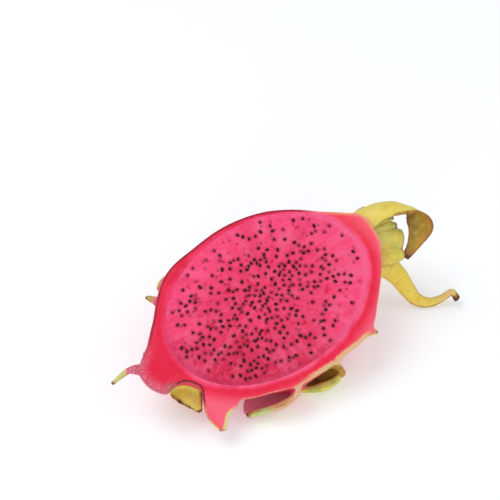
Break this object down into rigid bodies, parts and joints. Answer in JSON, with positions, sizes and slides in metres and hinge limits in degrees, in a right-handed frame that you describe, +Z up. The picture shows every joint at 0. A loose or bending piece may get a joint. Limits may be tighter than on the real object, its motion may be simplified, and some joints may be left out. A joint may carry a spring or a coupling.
{
  "type": "dragon fruit half",
  "caption": "Dragon fruit half as cut lengthwise: red-pink peel with curling green bracts round speckled magenta flesh, lying on its side",
  "frame": {"origin": "centre of the bounding box at the level of the surface that the half lies on", "axes": "+Z up; +X along the fruit towards its crown; the cut face looks up and to -Y"},
  "size_m": [0.1602, 0.0754, 0.0535],
  "materials": {
    "peel": "waxy fruit skin, pink-red, with bracts turning yellow-green to brown at their edges",
    "flesh": "moist magenta pulp, full of small glossy black seeds"
  },
  "bodies": {
    "root": {"peel": "peel", "flesh": "flesh"}
  },
  "joints": []
}
